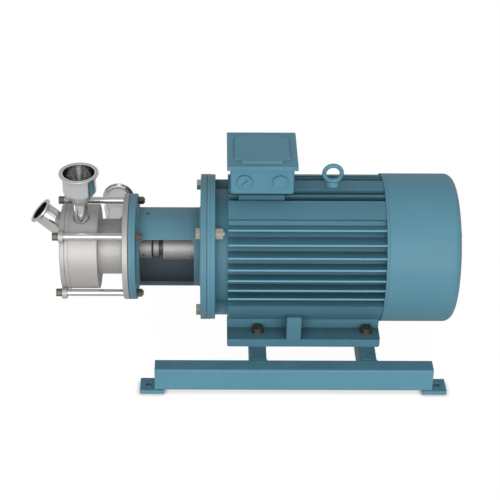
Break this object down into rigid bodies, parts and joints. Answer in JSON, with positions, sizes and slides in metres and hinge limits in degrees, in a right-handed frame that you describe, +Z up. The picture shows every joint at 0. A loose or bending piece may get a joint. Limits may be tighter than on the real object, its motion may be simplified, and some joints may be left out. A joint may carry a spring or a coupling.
{
  "type": "inline disperser",
  "caption": "Inline disperser on a base frame: finned motor with terminal box, open lantern, stainless mixing chamber with clamp ports, turning rotor and impeller.",
  "frame": {"origin": "on the floor, midway between the four anchor holes, under the shaft", "axes": "+X along the shaft from the wet end towards the motor's fan, +Y away from the pictured side, towards the rear port, +Z up"},
  "size_m": [0.9873, 0.494, 0.512],
  "materials": {
    "blue_paint": "satin grey-blue enamel",
    "satin_stainless": "bead blasted and lightly brushed stainless steel",
    "polished_stainless": "mirror polished stainless steel tube",
    "turned_steel": "fine turned and ground steel",
    "plated_fastener": "zinc plated, slightly warm",
    "dark_fastener": "oiled dark steel",
    "painted_hardware": "satin grey-blue enamel over forged steel",
    "core_steel": "stacked steel sheet",
    "winding_copper": "varnished copper winding",
    "rubber_seal": "black rubber",
    "seal_ceramic": "white ceramic seal seat",
    "seal_carbon": "dark carbon seal ring",
    "moulded_plastic": "black moulded plastic"
  },
  "bodies": {
    "frame": {"front_rail": "blue_paint", "rear_rail": "blue_paint", "drive_end_beam": "blue_paint", "fan_end_beam": "blue_paint", "rail_end_caps": "blue_paint", "anchor_pads": "blue_paint", "front_foot": "blue_paint", "rear_foot": "blue_paint", "stator_frame": "blue_paint", "drive_end_shield": "blue_paint", "fan_end_shield": "blue_paint", "fan_cowl": "blue_paint", "terminal_box_base": "blue_paint", "terminal_cover": "blue_paint", "lantern": "blue_paint", "cable_entry_plugs": "blue_paint", "disperser_housing": "satin_stainless", "feed_chamber": "satin_stainless", "front_cover": "satin_stainless", "stator_ring": "satin_stainless", "powder_inlet": "polished_stainless", "liquid_inlet": "polished_stainless", "outlet_port": "polished_stainless", "spacer_tubes": "polished_stainless", "drive_end_bearing_outer": "turned_steel", "fan_end_bearing_outer": "turned_steel", "flange_bolts": "plated_fastener", "flange_nut": "plated_fastener", "tie_rods": "dark_fastener", "tie_rod_nuts": "dark_fastener", "foot_bolts": "dark_fastener", "foot_nuts": "dark_fastener", "shield_screws": "dark_fastener", "cowl_screws": "dark_fastener", "eyebolt": "painted_hardware", "cowl_studs": "painted_hardware", "terminal_cover_screws": "painted_hardware", "stator_core": "core_steel", "stator_windings": "winding_copper", "terminal_gasket": "rubber_seal", "chamber_oring": "rubber_seal", "cover_oring": "rubber_seal", "oil_seal": "rubber_seal", "seal_seat": "seal_ceramic", "terminal_block": "moulded_plastic"},
    "rotor": {"motor_shaft": "turned_steel", "rotor_core": "core_steel", "cooling_fan": "moulded_plastic", "drive_end_bearing_inner": "turned_steel", "fan_end_bearing_inner": "turned_steel", "shaft_key": "turned_steel", "stub_shaft": "satin_stainless", "grub_screws": "dark_fastener", "seal_collar": "turned_steel", "splash_ring": "turned_steel", "seal_face_ring": "seal_carbon", "seal_bellows": "rubber_seal", "rotor_head": "satin_stainless", "premix_impeller": "satin_stainless", "impeller_nut": "satin_stainless"}
  },
  "joints": [
    {"name": "shaft_spin", "type": "hinge", "parent": "frame", "child": "rotor", "pos_m": [-0.2, 0, 0.244], "axis": [1, 0, 0], "continuous": true}
  ]
}
